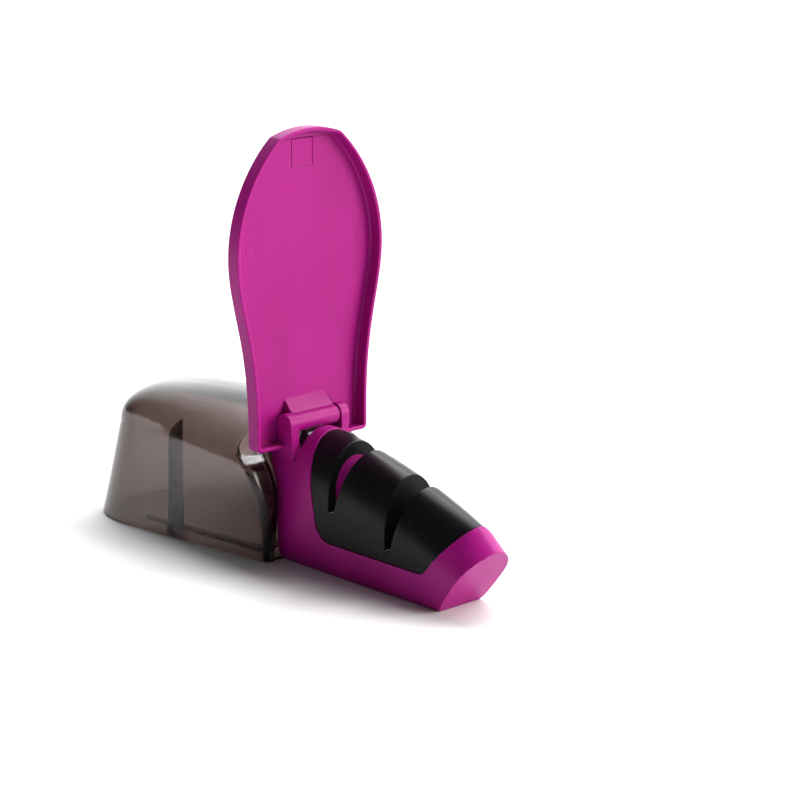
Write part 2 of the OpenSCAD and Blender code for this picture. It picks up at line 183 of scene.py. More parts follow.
def merge_close(obj, distance):
    """Merge points that lie closer than distance and drop the faces that vanish."""
    bm = bmesh.new()
    bm.from_mesh(obj.data)
    bmesh.ops.remove_doubles(bm, verts=bm.verts, dist=distance * MM)
    bmesh.ops.dissolve_degenerate(bm, edges=bm.edges, dist=distance * MM)
    bm.to_mesh(obj.data)
    bm.free()


def clear_room(obj, room, angle):
    """Pull points that lie within room of a sharp edge onto it, so that its bevel has space."""
    bm = bmesh.new()
    bm.from_mesh(obj.data)
    for _ in range(2):
        bm.normal_update()
        sharp = set()
        for edge in bm.edges:
            if len(edge.link_faces) == 2 and edge.calc_face_angle(0) > math.radians(angle):
                sharp.update(edge.verts)
        target = {}
        for edge in sorted(bm.edges, key=lambda e: e.calc_length()):
            a, b = edge.verts
            if edge.calc_length() < room * MM and (a in sharp) != (b in sharp):
                free, fixed = (b, a) if a in sharp else (a, b)
                target.setdefault(free, fixed)
        bmesh.ops.weld_verts(bm, targetmap=target)
        bmesh.ops.dissolve_degenerate(bm, edges=bm.edges, dist=0.02 * MM)
    bm.to_mesh(obj.data)
    bm.free()


def soften(obj, width, angle=38, merge=0.03, room=0.0):
    """Round the edges sharper than angle and shade the rest smooth."""
    merge_close(obj, merge)
    if room:
        clear_room(obj, room, angle)
    bevel = obj.modifiers.new("bevel", "BEVEL")
    bevel.width = width * MM
    bevel.segments = 2
    bevel.limit_method = "ANGLE"
    bevel.angle_limit = math.radians(angle)
    bevel.use_clamp_overlap = False
    bevel.miter_outer = "MITER_ARC"
    settle(obj)
    smooth(obj, angle)
    weighted = obj.modifiers.new("weighted", "WEIGHTED_NORMAL")
    weighted.keep_sharp = True
    settle(obj)


def smooth(obj, angle):
    for face in obj.data.polygons:
        face.use_smooth = True
    obj.data.set_sharp_from_angle(angle=math.radians(angle))


def finish_piece(obj, body, slot, material, *nodes):
    """Give a piece its material and body, and hide the CAD parts of the nodes that it stands for; slot is
    not used.
    """
    obj.data.materials.clear()
    obj.data.materials.append(material)
    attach(obj, body)
    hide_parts(*nodes)


def skin(name, rings):
    """Closed skin through rings that mirror themselves in Y: point 0 and the middle point lie at y = 0."""
    n = len(rings[0])
    vertices = [p for ring in rings for p in ring]
    faces = []
    for i in range(len(rings) - 1):
        for j in range(n):
            k = (j + 1) % n
            faces.append((i * n + j, i * n + k, i * n + n + k, i * n + n + j))
    last = (len(rings) - 1) * n
    faces += strips(0, n) + strips(last, n)
    return new_piece(name, vertices, faces)


def strips(first, n):
    """Cap of one ring, in strips across the middle."""
    faces = [(first, first + 1, first + n - 1)]
    for j in range(1, n // 2 - 1):
        faces.append((first + j, first + j + 1, first + n - j - 1, first + n - j))
    middle = n // 2
    faces.append((first + middle - 1, first + middle, first + middle + 1))
    return faces


def mirrored(half):
    """Ring from a half outline that starts and ends at y = 0."""
    return half + [(x, -y, z) for x, y, z in half[-2:0:-1]]


def place(axis, u, v, w):
    """Point from an outline's (u, v) and its depth w along the named axis."""
    return {"x": (w, u, v), "y": (u, w, v), "z": (u, v, w)}[axis]


def prism(outline, axis, low, high):
    n = len(outline)
    vertices = [place(axis, u, v, w) for w in (low, high) for u, v in outline]
    faces = [tuple(range(n)), tuple(range(n, 2 * n))]
    faces += [(i, (i + 1) % n, (i + 1) % n + n, i + n) for i in range(n)]
    return new_piece("tool", vertices, faces)


def across(outline):
    """Side view, extruded past both sides of the part."""
    return prism(outline, "y", -FAR, FAR)


def block(low, high):
    """Box between two opposite corners."""
    outline = [(low[0], low[1]), (high[0], low[1]), (high[0], high[1]), (low[0], high[1])]
    return prism(outline, "z", low[2], high[2])


def turned(name, axis, centre, profile, steps=40):
    """Turned shape: profile lists (distance along the axis, radius), from one end to the other."""
    vertices, faces = [], []
    for w, radius in profile:
        for i in range(steps):
            a = math.radians(360 * i / steps)
            u, v = centre[0] + radius * math.cos(a), centre[1] + radius * math.sin(a)
            vertices.append(place(axis, u, v, w))
    for i in range(len(profile) - 1):
        for j in range(steps):
            k = (j + 1) % steps
            faces.append((i * steps + j, i * steps + k, (i + 1) * steps + k, (i + 1) * steps + j))
    faces.append(tuple(range(steps)))
    faces.append(tuple(range((len(profile) - 1) * steps, len(profile) * steps)))
    return new_piece(name, vertices, faces)


def rod(axis, centre, low, high, radius, steps=40):
    return turned("tool", axis, centre, [(low, radius), (high, radius)], steps)


def corner(a, b, c, radius, steps):
    """Arc that rounds corner b of the path a, b, c."""
    a, b, c = Vector(a), Vector(b), Vector(c)
    u, v = (a - b).normalized(), (c - b).normalized()
    half = math.acos(max(-1, min(1, u.dot(v)))) / 2
    centre = b + (u + v).normalized() * radius / math.sin(half)
    p = b + u * radius / math.tan(half) - centre
    q = b + v * radius / math.tan(half) - centre
    start = math.atan2(p.y, p.x)
    turn = (math.atan2(q.y, q.x) - start + math.pi) % (2 * math.pi) - math.pi
    angles = [start + turn * i / steps for i in range(steps + 1)]
    return [(centre.x + radius * math.cos(t), centre.y + radius * math.sin(t)) for t in angles]


# ---- head: cross sections along X ----
def taper(x):
    return max(0, (x - NECK_X) / (TIP_X - NECK_X))


def fall(x):
    """How far the crown has fallen at x."""
    d = max(0, min(x, SEAM_X) - CROWN_X)
    return 0.1225 * d + 0.0016 * d * d


def crown(x):
    """Height of the crown at x; past the seam it falls in a straight line to the tip."""
    past = max(0, x - SEAM_X)
    return NECK_H - fall(x) - past * (NECK_H - fall(SEAM_X) - TIP_H) / (TIP_X - SEAM_X)


def belly_hw(x):
    return NOSE_HW + (NECK_HW - NOSE_HW) * max(0, 1 - taper(x)) ** 1.3


def belly_height(x):
    return 29 - 18 * taper(x) ** 1.5


def skirt_hw(x):
    return 12.9 - 3.6 * taper(x) ** 1.6


def roundness(x):
    """Power of the arch over the belly; 2 is an ellipse, and less is more pointed."""
    return 2.15 - 0.65 * taper(x) ** 3


def section(x, inset, foot):
    """Ring at x, set in by inset: skirt, belly, arch. Its foot lies at the height foot."""
    skirt_steps, arch_steps = 10, 28
    belly_z = belly_height(x)
    belly, skirt = belly_hw(x) - inset, skirt_hw(x) - inset
    rise = crown(x) - inset - belly_z
    power = 2 / roundness(x)
    half = [(x, 0, foot), (x, skirt / 2, foot)]
    for i in range(skirt_steps):
        u = 1 - i / skirt_steps
        half.append((x, skirt + (belly - skirt) * math.sqrt(1 - u * u), belly_z * (1 - u) if i else foot))
    for i in range(arch_steps + 1):
        a = 90 * i / arch_steps
        half.append((x, belly * cos(a) ** power, belly_z + rise * sin(a) ** power))
    half[-1] = (x, 0, belly_z + rise)
    return mirrored(half)


def head_form(inset, x0, x1, foot=0.0):
    """The head's form between x0 and x1, set in by inset; behind even_x all its sections are alike."""
    even_x = 4
    start = max(x0, even_x)
    stations = ([x0] if x0 < start else []) + spread(start, SEAM_X, 50) + spread(SEAM_X, x1, 8)[1:]
    return skin("head", [section(x, inset, foot) for x in stations])


# ---- side views of the head ----
WINDOW_LEAN = 0.18                  # how far the opening's rear edge leans forward, per unit down
WINDOW_SLOPE = 1.22                 # rise of its front edge, per unit forward


def window(grow):
    """Side view of the insert's opening, with rounded corners at its foot."""
    foot = INSERT_Z - grow
    a, b = [(CROWN_X - grow + (NECK_H - z) * WINDOW_LEAN, z) for z in (ABOVE, foot)]
    c, d = [(SEAM_X + grow + (z - crown(SEAM_X)) / WINDOW_SLOPE, z) for z in (foot, ABOVE)]
    return [a] + corner(a, b, c, 8 + grow, 12) + corner(b, c, d, 6 + grow, 10) + [d]


def slot_side(slot, grow=0.0):
    """Side view of a V slot: an upright rear face and a leaning front face."""
    x, foot = slot[0], slot[1] - grow
    w = SLOT_W + grow
    a, b, c = (x - grow, ABOVE), (x - grow, foot), (x + w, foot)
    d = (x + w + (ABOVE - foot) * SLOT_LEAN, ABOVE)
    return [a] + corner(a, b, c, 1 + grow, 5) + corner(b, c, d, 1 + grow, 5) + [d]


def nose_line(offset):
    """Two ends of the nose's leaning side view line, moved back by offset."""
    return [(TOE_X + z / NOSE_SLOPE - offset, z) for z in (ABOVE, BELOW)]


def body_sides():
    """Side views of the body's outside and of its hollow."""
    neck_zs = [z for z in spread(0, SADDLE_Z, 46) if z < SADDLE_Z]
    rear = [(handle_front(z, 0) + FIT_GAP, z) for z in neck_zs]
    rear_top = handle_front(SADDLE_Z, 0, rounding(SADDLE_Z)) + FIT_GAP
    outer = [(0, BELOW)] + rear + [(rear_top, SADDLE_Z), (COLLAR_X, SADDLE_Z), (COLLAR_X, ABOVE)]
    outer += nose_line(0)
    inner = [(WALL, BELOW)] + [(x + WALL, z) for x, z in rear if z < SADDLE_UNDER]
    inner += [(rear_top + WALL, SADDLE_UNDER), (COLLAR_X + WALL, SADDLE_UNDER), (COLLAR_X + WALL, ABOVE)]
    inner += nose_line(1.3 * WALL)
    return outer, inner


# ---- body ----
def make_body(material):
    outer, inner = body_sides()
    body = common(head_form(0, -10, TIP_X), across(outer))
    hollow = common(head_form(WALL, -11, TIP_X, -WALL), across(inner))
    cut(body, hollow, across(window(0)))
    for side in SIDES:
        join(body, ear(side))
    join(body, rod("z", (REAR_POST_X, 0), BASE_TOP, SADDLE_UNDER + 0.5, POST_R))
    boss_r, handle_hole_r, base_hole_r, base_hole_top = 2.6, 1.4, 1.3, 12.6
    for side in SIDES:
        join(body, rod("x", (side * SCREW_Y, SCREW_Z), 1.5, 10.5, boss_r))
        cut(body, rod("x", (side * SCREW_Y, SCREW_Z), -5, 9, handle_hole_r))
    join(body, rod("z", (FRONT_POST_X, 0), BASE_TOP, BASE_TOP + POST_H, POST_R), gusset())
    for x in BASE_POST_X:
        cut(body, rod("z", (x, 0), -1, base_hole_top, base_hole_r))
    cut(body, rod("y", (HINGE_X, HINGE_Z), -EAR_OUT + PIN_SEAT, EAR_OUT + 2, PIN_R))
    for y in (-EAR_OUT, EAR_OUT):
        cut(body, ear_notch(y))
    soften(body, 0.28, merge=0.12, room=0.5)
    finish_piece(body, "base", "magenta_plastic", material, "body_shell")


def gusset():
    """Rib that ties the front post to the nose."""
    foot, head = BASE_TOP, BASE_TOP + POST_H
    reach = [TOE_X + z / NOSE_SLOPE - 1 for z in (foot, head)]
    outline = [(FRONT_POST_X, foot), (reach[0], foot), (reach[1], head), (FRONT_POST_X, head)]
    return prism(outline, "y", -POST_R, POST_R)


def ear_notch(y):
    """Narrow notch between the foot of an ear and the collar."""
    front, back, head, half_width = HINGE_X + EAR_R - 0.1, COLLAR_X - 0.1, SADDLE_Z + 0.5, 2.5
    outline = [(front, SADDLE_Z - 5), (front, head), (back, head), (back, SADDLE_Z - 0.2)]
    return prism(outline, "y", y - half_width, y + half_width)


def ear(side):
    """Hinge ear: a round head on a root that leans in to meet the neck's side."""
    root, steps = SADDLE_Z - 8, 24
    outline = [(HINGE_X - EAR_R, root)]
    for i in range(steps + 1):
        a = math.pi - math.pi * i / steps
        outline.append((HINGE_X + EAR_R * math.cos(a), HINGE_Z + EAR_R * math.sin(a)))
    outline.append((HINGE_X + EAR_R, root))
    face = [(EAR_IN, root + 2), (EAR_OUT - 1.5, root), (EAR_OUT, HINGE_Z - 2)]
    face += [(EAR_OUT, FAR + 5), (EAR_IN, FAR + 5)]
    profile = prism(outline, "y", *sorted((0, side * (EAR_OUT + 1))))
    return common(profile, prism([(side * y, z) for y, z in face], "x", 0, COLLAR_X))


# ---- insert ----
def make_insert(material):
    shell = head_form(INSERT_SINK, INSERT_X0, INSERT_X1)
    cut(shell, head_form(INSERT_SINK + INSERT_WALL, INSERT_X0 - 1, INSERT_X1 + 1, -1))
    slot_wall, lug_foot, lug_hole_top, lug_hole_r = 1.4, 8, 17, 1.25
    for slot in SLOTS:
        join(shell, trimmed(across(slot_side(slot, slot_wall))))
    for x in LUG_X:
        join(shell, trimmed(rod("z", (x, 0), lug_foot, FAR, LUG_R)))
    cut(shell, across(beyond_window()))
    for slot in SLOTS:
        cut(shell, across(slot_side(slot)))
    cut(shell, web(WEB_GAP, WEB_X - WEB_GAP, COARSE[0] + 1.3))
    room_hw = 3.4                   # of the opening in a slot's floor, where the blades or rods come up
    for x, z in SLOTS:
        cut(shell, block((x - 2, -room_hw, z - 3), (x + SLOT_W + 7, room_hw, z + 14)))
    for x in LUG_X:
        cut(shell, rod("z", (x, 0), lug_foot - 3, lug_hole_top, lug_hole_r))
    soften(shell, 0.25, merge=0.2, room=0.4)
    finish_piece(shell, "base", "black_plastic", material, "insert_rear", "insert_middle", "insert_front")


def trimmed(piece):
    """Part of a piece that stays just under the insert's face."""
    return common(piece, head_form(INSERT_SINK + 1, INSERT_X0, INSERT_X1))


def beyond_window():
    """Side view of all that lies outside the insert's edge."""
    edge = window(-FIT_GAP)
    front = FAR * 2.4
    return [(0, -5), (0, FAR + 20), (edge[0][0], FAR + 20)] + edge + [(front, ABOVE), (front, -5)]


def web(grow, x0, x1):
    """Arched web behind the coarse slot."""
    half_width, steps = WEB_HW + grow, 40
    outline = [(-half_width, 6 - grow), (half_width, 6 - grow)]
    for i in range(steps + 1):
        a = math.pi * i / steps
        rise = WEB_TOP - WEB_SPRING_Z + grow
        outline.append((half_width * math.cos(a), WEB_SPRING_Z + rise * math.sin(a)))
    return prism(outline, "x", x0, x1)


# ---- carrier and what it holds ----
def lean(obj, x, y, z, tilt):
    """Turn a piece about +Y by tilt degrees and move it to (x, y, z)."""
    c, s = math.cos(math.radians(tilt)), math.sin(math.radians(tilt))
    for vertex in obj.data.vertices:
        u, v, w = vertex.co
        vertex.co = (u * c + w * s + x * MM, v + y * MM, w * c - u * s + z * MM)
    return obj


def blade(side, grow=0.0):
    """Carbide strip, which crosses its twin under the coarse slot."""
    middle, foot, head = -BLADE_W / 2 - side * 1.2, -17 - grow, 5
    rear, front = middle - grow, middle + BLADE_W + grow
    outline = [(rear, foot), (front, foot), (front, head), (rear, head)]
    low = 0 if side > 0 else -BLADE_T
    strip = prism(outline, "y", low - grow, low + BLADE_T + grow)
    return lean(strip, COARSE[0] + BLADE_W / 2, 0, CROSS_Z, side * BLADE_TILT)


def ceramic_rod(side, grow=0.0):
    """Ceramic rod, which leans the other way than its twin beside it."""
    chamfer, foot, head = 0.3, -13, 9
    profile = [(foot, ROD_R - chamfer), (foot + chamfer, ROD_R)]
    profile += [(head - chamfer, ROD_R), (head, ROD_R - chamfer)]
    shape = turned("rod", "z", (0, 0), [(w, r + grow) for w, r in profile], 32)
    return lean(shape, ROD_CROSS_X, side * ROD_Y0, ROD_CROSS_Z, side * ROD_TILT)


def fine_screw_x(side):
    """Where the rod's middle line passes at the height of its screw."""
    return ROD_CROSS_X - side * (ROD_CROSS_Z - ROD_SCREW_Z) * math.tan(math.radians(ROD_TILT))


def make_carrier(material):
    plate_hw, tower_foot, seat, thread_r = 8, 7, 0.02, 1.3
    carrier = block((18.5, -plate_hw, 5.2), (FRONT_POST_X - POST_R - 0.3, plate_hw, 8))
    join(carrier, web(0, WEB_X, COARSE[0] - 0.5))
    join(carrier, block((WEB_X, -CHEEK, tower_foot), (WEB_X + 13.5, CHEEK, 22.6)))
    join(carrier, block((FINE[0] - 6, -CHEEK, tower_foot), (FINE[0] + 10.3, CHEEK, 14.8)))
    for side in SIDES:
        cut(carrier, blade(side, seat), ceramic_rod(side, seat))
    cut(carrier, block((COARSE[0] - 2.6, 1.6, 9), (COARSE[0] + 7.4, 2.8, 23)))
    for x in CLAMP_SCREW_X:
        cut(carrier, rod("y", (x, CLAMP_SCREW_Z), 2, plate_hw, thread_r))
    for side in SIDES:
        low, high = sorted((side * 3, side * plate_hw))
        cut(carrier, rod("y", (fine_screw_x(side), ROD_SCREW_Z), low, high, thread_r))
    for x in LUG_X:
        cut(carrier, rod("z", (x, 0), 4, 10, 1.5))
    soften(carrier, 0.25)
    finish_piece(carrier, "base", "magenta_plastic", material, "sharpener_carrier")


def make_edges(carbide, ceramic, steel):
    for side, where in zip(SIDES, ("near", "far")):
        strip = blade(side)
        strip.name = "carbide_strip_" + where
        soften(strip, 0.12)
        finish_piece(strip, "base", "carbide", carbide, "coarse_blade_" + where)
        stick = ceramic_rod(side)
        stick.name = "ceramic_rod_" + where
        smooth(stick, 40)
        finish_piece(stick, "base", "ceramic", ceramic, "fine_rod_" + where)
    clamp = block((COARSE[0] - 2.5, 1.65, 9.1), (COARSE[0] + 7.3, 2.75, 22.4))
    clamp.name = "strip_clamp"
    soften(clamp, 0.2)
    finish_piece(clamp, "base", "steel", steel, "coarse_clamp")


# ---- screws, pin, spring ----
def grub_screw(axis, centre, face, depth):
    """Headless screw with a hexagon socket; face is its outer end, depth its signed length inward."""
    crest, root, pitch = 1.25, 1.05, 0.5
    way = 1 if depth > 0 else -1
    profile = [(face, 0.95), (face + 0.3 * way, crest)]
    for i in range(int(abs(depth) / pitch) - 1):
        at = face + (0.4 + pitch * i) * way
        profile += [(at, crest), (at + 0.2 * way, root), (at + 0.4 * way, crest)]
    profile += [(face + depth, 1.0)]
    shape = turned("screw", axis, centre, profile, 24)
    socket = rod(axis, centre, *sorted((face - 0.2 * way, face + 1.2 * way)), 0.65, 6)
    return cut(shape, socket)


def headed_screw(axis, centre, face, head_r, head_h, shank_r, length):
    """Pan-head screw with a cross recess, which points along +axis from its face."""
    pitch, root_r = 0.8, shank_r * 0.82
    start = face + head_h
    profile = [(face, head_r * 0.62), (face + head_h * 0.25, head_r * 0.93), (face + head_h * 0.6, head_r)]
    profile += [(start, head_r), (start, shank_r)]
    for i in range(int((length - 1) / pitch)):
        at = start + 0.2 + pitch * i
        profile += [(at, root_r), (at + 0.3, shank_r), (at + 0.45, shank_r), (at + 0.75, root_r)]
    profile += [(start + length, shank_r * 0.3)]
    shape = turned("screw", axis, centre, profile, 32)
    arm, width, depth = head_r * 0.6, head_r * 0.11, min(head_h * 0.8, 1.2)
    for u, v in ((arm, width), (width, arm)):
        outline = [(centre[0] + a * u, centre[1] + b * v) for a, b in ((-1, -1), (1, -1), (1, 1), (-1, 1))]
        cut(shape, prism(outline, axis, face - 0.2, face + depth))
    return shape


def make_screws(steel):
    handle_screw = {"face": -3.6, "head_r": 2.8, "head_h": 1.9, "shank_r": 1.38, "length": 10.4}
    insert_screw = {"face": 3.6, "head_r": 2.5, "head_h": 1.5, "shank_r": 1.23, "length": 10.3}
    base_screw = {"face": 0.1, "head_r": 2.6, "head_h": 0.5, "shank_r": 1.28, "length": 11.9}
    sets = {
        "handle_screws": [headed_screw("x", (s * SCREW_Y, SCREW_Z), **handle_screw) for s in SIDES],
        "insert_screws": [headed_screw("z", (x, 0), **insert_screw) for x in LUG_X],
        "base_screws": [headed_screw("z", (x, 0), **base_screw) for x in BASE_POST_X],
        "coarse_screws": [grub_screw("y", (x, CLAMP_SCREW_Z), 7.7, -4.9) for x in CLAMP_SCREW_X],
        "fine_screws": [grub_screw("y", (fine_screw_x(s), ROD_SCREW_Z), s * 6.9, -s * 3.6) for s in SIDES],
    }
    for node, screws in sets.items():
        for number, screw in enumerate(screws, 1):
            screw.name = f"{node[:-1]}_{number}"
            smooth(screw, 35)
            finish_piece(screw, "base", "steel", steel, node)


def make_pin(steel):
    low, high, radius = -EAR_OUT + 1.25, EAR_OUT - 0.25, PIN_R - 0.02
    profile = [(low, PIN_R - 0.3), (low + 0.3, radius), (high - 0.3, radius), (high, PIN_R - 0.3)]
    pin = turned("hinge_pin_turned", "y", (HINGE_X, HINGE_Z), profile)
    smooth(pin, 40)
    finish_piece(pin, "base", "steel", steel, "hinge_pin")


def make_spring(dark_metal):
    """Leaf of dark spring steel under the knuckle, bent up in a smooth hump."""
    leaf, hump = 0.5, 5.6 - 0.55
    line = []
    for x in spread(-4, 10, 56):
        rise = ease((x - 1) / 3.2) * (1 - 0.92 * ease((x - 6.4) / 4.2))
        line.append((x, SADDLE_Z + 0.02 + hump * rise))
    outline = line + [(x, z + leaf) for x, z in reversed(line)]
    spring = prism(outline, "y", -4.5, 4.5)
    spring.name = "detent_leaf"
    soften(spring, 0.1, angle=50)
    finish_piece(spring, "base", "steel", dark_metal, "detent_spring")


# ---- base ----
def make_base(plastic_black, rubber):
    gap = 0.1
    outline = [(x, skirt_hw(x) - WALL - FIT_GAP) for x in spread(2.6, FRONT_POST_X + 3, 24)]
    cover = prism(outline + [(x, -y) for x, y in reversed(outline)], "z", BASE_UNDER, BASE_TOP)
    for x in PAD_X:
        cut(cover, block((x - gap, -PAD_HW - gap, 0), (x + PAD_L + gap, PAD_HW + gap, PAD_H)))
    for x in BASE_POST_X:
        cut(cover, rod("z", (x, 0), 0, 4, 1.6))
    groove_hw, groove_w, groove_top = 6.5, 1.2, 1       # grooves in its underside, between the pads
    for x in spread(36, 54, 6):
        cut(cover, block((x, -groove_hw, 0), (x + groove_w, groove_hw, groove_top)))
    cover.name = "base_cover_moulded"
    soften(cover, 0.2)
    finish_piece(cover, "base", "black_plastic", plastic_black, "base_cover")
    for x, node in zip(PAD_X, ("rear_pad", "front_pad")):
        make_pad(x, node, rubber)


def make_pad(x, node, rubber):
    """Rubber pad with grooves across its sole."""
    first, pitch, groove_w, groove_d = 1.9, 2, 0.8, 0.5
    pad = block((x, -PAD_HW, 0), (x + PAD_L, PAD_HW, PAD_H))
    for i in range(9):
        at = x + first + pitch * i
        cut(pad, block((at, -PAD_HW + 1, -1), (at + groove_w, PAD_HW - 1, groove_d)))
    pad.name = node + "_ribbed"
    soften(pad, 0.15)
    finish_piece(pad, "base", "rubber", rubber, node)


# ---- handle ----
FOOT_STEPS = 5                      # rings round the foot's edge
SHARP_FOOT = 0.01                   # foot radius of the forms that start above the foot's edge


def round_over(z, start, power):
    """Share of an outline's width that is left at z, where the top rounds over above start."""
    return 1 if z <= start else (1 - ((z - start) / (HANDLE_H - start)) ** power) ** (1 / power)


def rounding(z):
    return round_over(z, LIP_Z, TOP_POWER)


def handle_front(z, v, top=1.0):
    """Front face of the handle at height z; v is 0 in the middle and 1 at the side, top the rounding.

    It bulges forward low down and falls back above; its side edges reach forward up to the lip.
    """
    bulge = 1.5 * ease(z / 27) - 8 * ease((z - 27) / 22)
    side = 3.5 * ease(z / 38) * (1 - ease((z - 41) / 5)) - 2.2
    return bulge - 3 * (1 - top) + side * v**4


def handle_ring(z, top, inset):
    """Ring of the handle at height z, set in by inset; top shrinks it where the top rounds over."""
    outside = inset < 1
    forward = LIP_T * (1 - ease((z - FRONT_LIP_Z) / LIP_FADE)) if outside else 0.8 * inset
    flare = (LIP_HW - FOOT_FRONT_HW) * ease((min(z, FLARE_Z) / FLARE_Z) ** 1.3)
    front_hw = (FOOT_FRONT_HW + flare) * round_over(z, FRONT_LIP_Z, FRONT_POWER) - inset
    rear_hw = (FOOT_REAR_HW - 0.19 * min(z, LIP_Z)) * top - inset
    side_x = handle_front(z, 1, top) - inset + forward
    rear_x = REAR_X + 0.155 * z + 16 * (1 - top) + inset
    reach = (3.5 if outside else 1.2) * top     # of the rounded corner, along both faces
    half = []
    for v in spread(0, 1 - reach / front_hw, 24):
        share = ease((front_hw * v - NECK_HW - 0.5) / 3)
        half.append((handle_front(z, v, top) - inset + forward * share, front_hw * v))
    t = reach / (side_x - WAIST_X)
    start, near = half[-1], (mix(side_x, WAIST_X, t), mix(front_hw, rear_hw, t))
    half += [bend(start, (side_x, front_hw), near, i / 6) for i in range(1, 7)]
    half += [(mix(near[0], WAIST_X, u), mix(near[1], rear_hw, u)) for u in spread(0, 1, 30)[1:]]
    rear_steps, rear_power = 24, 0.77
    for i in range(1, rear_steps + 1):
        a = 90 * i / rear_steps
        half.append((WAIST_X - (WAIST_X - rear_x) * sin(a) ** rear_power, rear_hw * cos(a) ** rear_power))
    half[-1] = (rear_x, 0)
    return mirrored([(x, y, z * sag(x)) for x, y in half])


def sag(x):
    """Share of the height that is left where the handle falls towards its back."""
    return 1 - 0.0016 * max(0, -30 - x) ** 2 / HANDLE_H


def handle_rings(inset, top_z, foot_r):
    """Rings from the foot to the top: the foot's edge is rounded by foot_r."""
    rings = []
    for i in range(FOOT_STEPS):
        a = 90 * i / FOOT_STEPS
        rings.append(handle_ring(foot_r * (1 - cos(a)), 1, inset + foot_r * (1 - sin(a))))
    rings += [handle_ring(z, 1, inset) for z in spread(foot_r, LIP_Z, 34)]
    top_steps, top_angle, power = 20, 86, 2 / TOP_POWER
    for i in range(1, top_steps + 1):
        a = top_angle * i / top_steps
        z, shrink = LIP_Z + (top_z - LIP_Z) * sin(a) ** power, cos(a) ** power
        rings.append(handle_ring(z, shrink, inset * max(shrink, 0.5)))
    return rings


def make_handle(material):
    handle = skin("handle", handle_rings(0, HANDLE_H, 0.9))
    rings = handle_rings(HANDLE_WALL, HANDLE_H - HANDLE_WALL, SHARP_FOOT)[FOOT_STEPS:]
    below = [(x, y, -1) for x, y, z in rings[0]]
    cut(handle, skin("hollow", [below] + rings))
    join(handle, common(inner_fill(), ledge()))
    for side in SIDES:
        join(handle, common(inner_fill(), post(side)))
        cut(handle, rod("x", (side * SCREW_Y, SCREW_Z), -6, 6, 1.7))
    soften(handle, 0.25, angle=50)
    for vertex in handle.data.vertices:     # the bevel leaves a few points a hair under the table
        vertex.co.z = max(vertex.co.z, 0)
    handle.name = "handle_clear"
    finish_piece(handle, "base", "smoke_plastic", material, "handle_shell")


def inner_fill():
    """The hollow's form, a little larger, to trim what is moulded inside it."""
    rings = handle_rings(HANDLE_WALL - 0.4, HANDLE_H - HANDLE_WALL - 1, SHARP_FOOT)[FOOT_STEPS:]
    return skin("fill", [[(x, y, 0) for x, y, z in rings[0]]] + rings[1:])


def ledge():
    """Step inside the foot, along both sides and the front."""
    step = block((-66, -FAR / 2, LEDGE_Z), (2, FAR / 2, LEDGE_Z + 1.8))
    half = FOOT_FRONT_HW - 5
    return cut(step, prism([(-70, -27), (-70, 27), (-6, half), (-6, -half)], "z", LEDGE_Z - 1, LEDGE_Z + 3))


def post(side):
    """Post that stiffens a side wall, with a slanting top."""
    rear = POST_X - POST_W
    outline = [(rear, 0.5), (POST_X, 0.5), (POST_X, 48), (rear, 43)]
    return prism(outline, "y", *sorted((side * POST_Y, side * (POST_Y + 14))))


# ---- guard ----
def guard_half(z):
    """Half width of the guard at z: it swells up to the widest place, then closes in."""
    if z < WIDE_Z:
        turn = math.pi * (max(0, z - TAIL_Z) / (WIDE_Z - TAIL_Z)) ** 1.6
        return mix(TAIL_HW, GUARD_HW, 0.5 - 0.5 * math.cos(turn))
    return GUARD_HW * (1 - ((z - WIDE_Z) / 54) ** 2) ** 0.7


def guard_ring(x, inset):
    """Outline of the guard at x, set in by inset, with rounded corners at its tail and tip."""
    foot, top = TAIL_Z + inset, TAIL_Z + GUARD_L - TIP_RISE - 0.8 * inset
    low_hw, tip_hw = guard_half(foot) - inset, guard_half(top) - inset
    tail_r = max(2.2 - inset, 0.5)
    half = [(y, foot) for y in spread(0, low_hw - tail_r, 14)]
    half += corner((0, foot), (low_hw, foot), (low_hw, foot + 9), tail_r, 6)[1:]
    half += [(guard_half(z) - inset, z) for z in spread(foot + tail_r, top - 0.5, 80)[1:]]
    tip = [(tip_hw * v, top + (TIP_RISE - 0.2 * inset) * (1 - v * v)) for v in spread(0.96, 0, 20)]
    side_end = half[-1]
    half += [bend(side_end, (tip_hw, top), tip[0], i / 5) for i in range(1, 5)] + tip
    half[-1] = (0, tip[-1][1])
    return mirrored([(x, y, z) for y, z in half])


def guard_rings(back, rim):
    """Rings over the guard's back edge, its rim and down to the fillet along the tray's floor."""
    edge_r, rim_r, fillet = 1.4, 0.45, 0.9
    outside = [(back + edge_r * (1 - cos(a)), edge_r * (1 - sin(a))) for a in spread(0, 90, 6)]
    outside += [(rim - rim_r * (1 - sin(a)), rim_r * (1 - cos(a))) for a in spread(0, 90, 4)]
    inside = [(rim - rim_r * (1 - cos(a)), GUARD_T - rim_r * (1 - sin(a))) for a in spread(0, 90, 4)]
    floor = [(fillet * (1 - sin(a)), fillet * (1 - cos(a))) for a in spread(0, 90, 5)]
    inside += [(back + GUARD_T + up, GUARD_T + inset) for up, inset in floor]
    return [guard_ring(x, inset) for x, inset in outside + inside]


